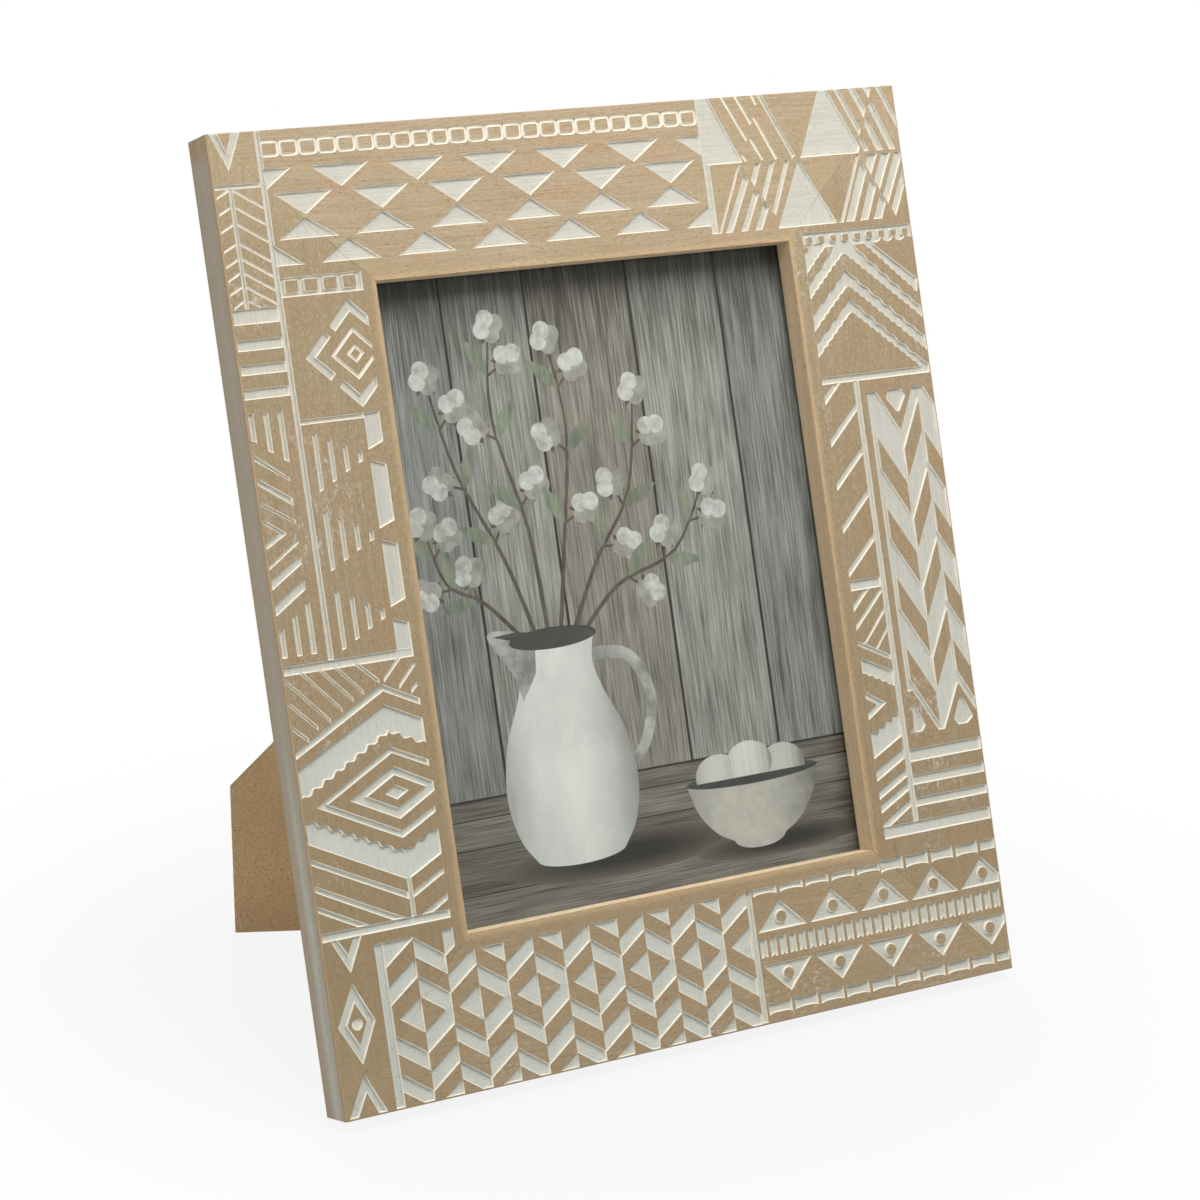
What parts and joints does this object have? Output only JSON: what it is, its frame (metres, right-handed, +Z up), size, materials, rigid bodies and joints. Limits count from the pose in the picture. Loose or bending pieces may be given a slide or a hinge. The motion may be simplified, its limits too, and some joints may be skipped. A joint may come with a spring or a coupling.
{
  "type": "wooden picture frame",
  "caption": "Upright wooden picture frame with carved whitewashed rails, glass, a print and a fibreboard back whose diagonal easel strut folds flat.",
  "frame": {"origin": "on the standing surface, at the middle of the standing frame's bounding box", "axes": "+X to the right seen from the front, the face looks towards -Y leaning back, +Z up"},
  "size_m": [0.23, 0.1552, 0.2719],
  "materials": {
    "carved_wood": "bare tan softwood with whitewashed carving",
    "clear_glass": "clear float glass",
    "printed_paper": "satin printed paper",
    "grey_card": "plain grey board",
    "fibreboard": "raw brown medium-density fibreboard",
    "zinc_steel": "zinc-plated sheet steel",
    "brassed_steel": "brass-plated steel"
  },
  "bodies": {
    "frame": {"top_rail": "carved_wood", "bottom_rail": "carved_wood", "left_stile": "carved_wood", "right_stile": "carved_wood", "corner_nails": "zinc_steel", "glass_pane": "clear_glass", "picture_print": "printed_paper", "spacer_card": "grey_card", "back_board": "fibreboard", "board_hinge_leaf": "zinc_steel", "hinge_pin": "zinc_steel", "board_rivets": "zinc_steel", "button_screws": "brassed_steel", "portrait_hanger": "zinc_steel", "landscape_hanger": "zinc_steel", "hanger_nails": "zinc_steel"},
    "strut": {"strut": "fibreboard", "strut_hinge_leaf": "zinc_steel", "strut_rivets": "zinc_steel"},
    "button_top": {"turn_button_top": "brassed_steel"},
    "button_bottom": {"turn_button_bottom": "brassed_steel"},
    "button_left": {"turn_button_left": "brassed_steel"},
    "button_right": {"turn_button_right": "brassed_steel"}
  },
  "joints": [
    {"name": "strut_fold", "type": "hinge", "parent": "frame", "child": "strut", "pos_m": [0.0545, -0.00941, 0.17251], "axis": [-0.7071, 0.2067, 0.6762], "range_deg": [0, 33.7]},
    {"name": "button_top_turn", "type": "hinge", "parent": "frame", "child": "button_top", "pos_m": [0, 0.00841, 0.23503], "axis": [0, 0.9563, -0.2924], "continuous": true},
    {"name": "button_bottom_turn", "type": "hinge", "parent": "frame", "child": "button_bottom", "pos_m": [0, -0.05357, 0.0323], "axis": [0, 0.9563, -0.2924], "continuous": true},
    {"name": "button_left_turn", "type": "hinge", "parent": "frame", "child": "button_left", "pos_m": [-0.081, -0.02258, 0.13366], "axis": [0, 0.9563, -0.2924], "continuous": true},
    {"name": "button_right_turn", "type": "hinge", "parent": "frame", "child": "button_right", "pos_m": [0.081, -0.02258, 0.13366], "axis": [0, 0.9563, -0.2924], "continuous": true}
  ]
}
